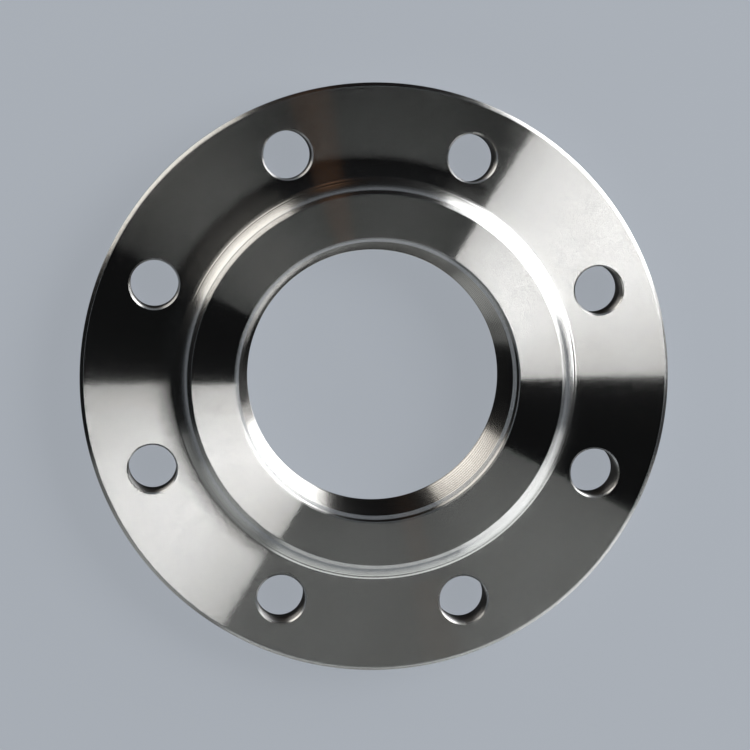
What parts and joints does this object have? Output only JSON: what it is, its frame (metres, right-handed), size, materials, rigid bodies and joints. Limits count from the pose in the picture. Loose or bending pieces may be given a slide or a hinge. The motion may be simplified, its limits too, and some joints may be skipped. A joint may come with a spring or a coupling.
{
  "type": "socket weld flange",
  "caption": "Round steel pipe flange in one turned piece, with a low hub, a socket and tapered bore, chamfered bolt holes and a raised gasket face.",
  "frame": {"origin": "centre of the gasket face, the lowest face, on the bore's axis", "axes": "+Z along the bore's axis towards the hub; +X and +Y are centre lines that the bolt holes straddle"},
  "size_m": [0.221, 0.221, 0.028],
  "materials": {
    "turned_steel": "fine turned, with circular tool lines"
  },
  "bodies": {
    "root": {"flange": "turned_steel"}
  },
  "joints": []
}
